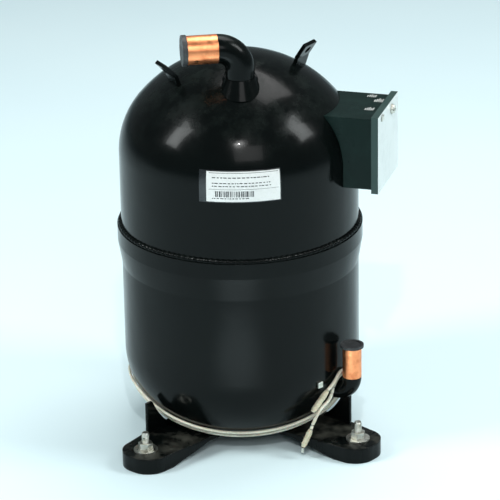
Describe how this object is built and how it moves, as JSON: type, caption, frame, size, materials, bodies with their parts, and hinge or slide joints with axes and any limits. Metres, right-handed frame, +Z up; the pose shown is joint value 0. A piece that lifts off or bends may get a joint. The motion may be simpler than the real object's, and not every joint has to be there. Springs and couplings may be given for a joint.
{
  "type": "scroll compressor",
  "caption": "Hermetic scroll compressor: black welded shell on bolted feet, plugged copper stubs, terminal box, heater cord, and a working motor and scroll set inside.",
  "frame": {"origin": "on the shell axis, in the plane that the feet stand on, at the centre of the circle of the three anchor studs", "axes": "+Z up along the shell and crankshaft; +X to the right, over the side with the terminal box; -Y to the front, towards the name plate"},
  "size_m": [0.2897, 0.3022, 0.4333],
  "materials": {
    "shell_enamel": "gloss black enamel",
    "foot_enamel": "gloss black enamel",
    "grommet_rubber": "dull black",
    "zinc": "zinc plated",
    "copper": "drawn copper tube",
    "plug_rubber": "dull dark grey",
    "box_enamel": "satin dark green black",
    "cover_paint": "satin light grey",
    "terminal_steel": "plated",
    "pin_brass": "bare",
    "block_plastic": "black moulded",
    "plate_black": "printed black film",
    "label_white": "printed white film",
    "cord_silicone": "cream silicone",
    "sleeve": "translucent shrink tube",
    "lead_red": "insulated wire",
    "cast_iron": "machined",
    "sintered": "sintered steel",
    "shaft_steel": "ground",
    "weight_brass": "cast",
    "laminations": "stacked sheet",
    "ring_aluminium": "cast",
    "winding": "varnished copper wire"
  },
  "bodies": {
    "shell": {"lower_shell": "shell_enamel", "upper_shell": "shell_enamel", "girth_weld": "shell_enamel", "suction_elbow": "shell_enamel", "suction_weld": "shell_enamel", "discharge_elbow": "shell_enamel", "discharge_weld": "shell_enamel", "lifting_lug_left": "shell_enamel", "lifting_lug_right": "shell_enamel", "foot_front_left": "foot_enamel", "foot_front_right": "foot_enamel", "foot_rear": "foot_enamel", "foot_grommets": "grommet_rubber", "cover_gasket": "grommet_rubber", "foot_washers": "zinc", "foot_nuts": "zinc", "foot_studs": "zinc", "heater_clamps": "zinc", "lead_tip": "zinc", "suction_stub": "copper", "suction_tube": "copper", "discharge_stub": "copper", "terminal_box": "box_enamel", "terminal_body": "terminal_steel", "terminal_pins": "pin_brass", "main_bearing": "pin_brass", "lower_bearing": "pin_brass", "terminal_block": "block_plastic", "name_plate": "plate_black", "name_label": "label_white", "heater_cord_inner": "cord_silicone", "heater_cord_outer": "cord_silicone", "heater_lead_short": "cord_silicone", "heater_lead_long": "cord_silicone", "lead_sleeve_short": "sleeve", "lead_sleeve_long": "sleeve", "motor_leads": "lead_red", "fixed_scroll": "cast_iron", "main_frame": "cast_iron", "lower_bracket": "cast_iron", "valve_retainer": "shaft_steel", "scroll_bolts": "shaft_steel", "stator_core": "laminations", "end_windings": "winding"},
    "crank": {"crankshaft": "shaft_steel", "drive_bush": "pin_brass", "upper_counterweight": "weight_brass", "lower_counterweight": "weight_brass", "rotor_core": "laminations", "rotor_end_rings": "ring_aluminium", "oil_pickup": "shaft_steel"},
    "orbiting": {"orbiting_scroll": "cast_iron"},
    "oldham": {"oldham_ring": "sintered"},
    "suction_cap": {"suction_plug": "plug_rubber"},
    "discharge_cap": {"discharge_plug": "plug_rubber"},
    "cover": {"terminal_cover": "cover_paint", "cover_tab": "zinc"},
    "screw": {"cover_screw": "zinc"},
    "valve": {"discharge_valve": "shaft_steel"}
  },
  "joints": [
    {"name": "crank_spin", "type": "hinge", "parent": "shell", "child": "crank", "pos_m": [0, 0, 0.15], "axis": [0, 0, 1], "continuous": true},
    {"name": "orbit", "type": "hinge", "parent": "crank", "child": "orbiting", "pos_m": [0.003, 0, 0.254], "axis": [0, 0, 1], "continuous": true},
    {"name": "oldham_slide", "type": "slide", "parent": "shell", "child": "oldham", "axis": [1, 0, 0], "range_m": [-0.006, 0]},
    {"name": "suction_plug_pull", "type": "slide", "parent": "shell", "child": "suction_cap", "axis": [-0.9976, -0.0698, 0], "range_m": [0, 0.03]},
    {"name": "discharge_plug_pull", "type": "slide", "parent": "shell", "child": "discharge_cap", "axis": [0, 0, 1], "range_m": [0, 0.03]},
    {"name": "cover_slide", "type": "slide", "parent": "shell", "child": "cover", "axis": [0.9336, -0.3584, 0], "range_m": [0, 0.06]},
    {"name": "screw_out", "type": "slide", "parent": "cover", "child": "screw", "axis": [0.9336, -0.3584, 0], "range_m": [0, 0.018]},
    {"name": "valve_lift", "type": "slide", "parent": "shell", "child": "valve", "axis": [0, 0, 1], "range_m": [0, 0.002]}
  ],
  "couplings": [
    {"joint": "orbit", "follows": "crank_spin", "ratio": -1}
  ]
}
